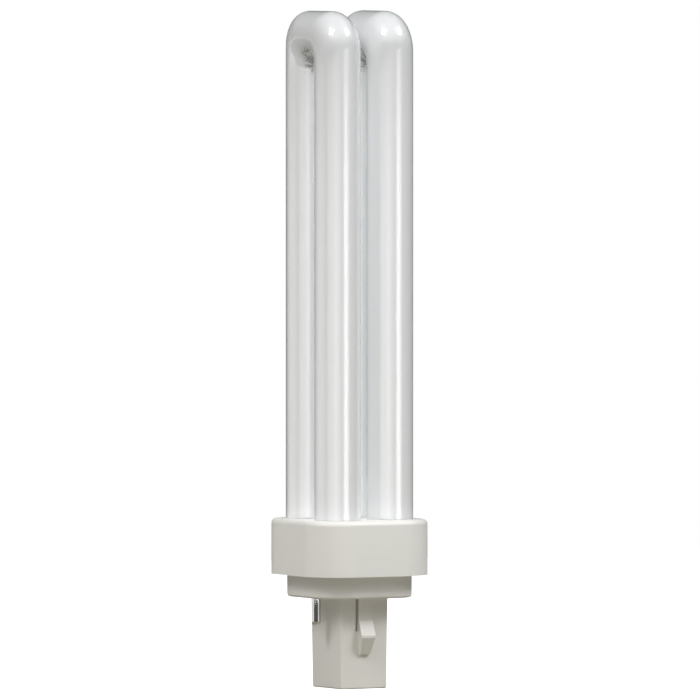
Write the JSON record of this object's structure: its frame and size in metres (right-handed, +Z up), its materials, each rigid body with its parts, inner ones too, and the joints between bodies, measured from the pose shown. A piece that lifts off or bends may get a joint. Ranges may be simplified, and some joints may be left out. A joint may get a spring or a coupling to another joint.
{
  "type": "plug-in compact fluorescent lamp",
  "caption": "Upright plug-in lamp: parallel white glass U-tubes in a rounded square collar, over a stepped cap with a latched square post and contact pins.",
  "frame": {"origin": "middle of the post's end face, the lowest point of the lamp as it stands with its cap down", "axes": "+Z up the lamp from the cap to the tubes' bends, X across the two U-tubes, Y along each U-tube from its front leg to its back leg"},
  "size_m": [0.0348, 0.0348, 0.1741],
  "materials": {
    "coated_glass": "glossy, white phosphor coat inside",
    "white_plastic": "fine satin moulding",
    "cap_plastic": "fine satin moulding",
    "nickel": "nickel plate on brass",
    "cement": "chalky lamp cement",
    "clear_glass": "clear glossy",
    "dipped_resin": "dipped resin",
    "card": "pressed insulating card",
    "tinned_metal": "tinned",
    "glass_fibre": "braided glass fibre"
  },
  "bodies": {
    "root": {"glass_burner": "coated_glass", "tube_collar": "white_plastic", "base_cap": "cap_plastic", "contact_pin_left": "nickel", "contact_pin_right": "nickel", "cement_ring_left_front": "cement", "cement_ring_left_back": "cement", "cement_ring_right_front": "cement", "cement_ring_right_back": "cement", "starter_bulb": "clear_glass", "starter_capacitor": "dipped_resin", "insulating_card": "card", "crimp_ferrule_left": "tinned_metal", "crimp_ferrule_right": "tinned_metal", "starter_lead_left": "tinned_metal", "starter_lead_right": "tinned_metal", "capacitor_lead_left": "tinned_metal", "capacitor_lead_right": "tinned_metal", "pin_lead_left": "tinned_metal", "pin_lead_right": "tinned_metal", "circuit_lead_left": "tinned_metal", "circuit_lead_right": "tinned_metal", "lead_sleeve_left": "glass_fibre", "lead_sleeve_right": "glass_fibre"}
  },
  "joints": []
}
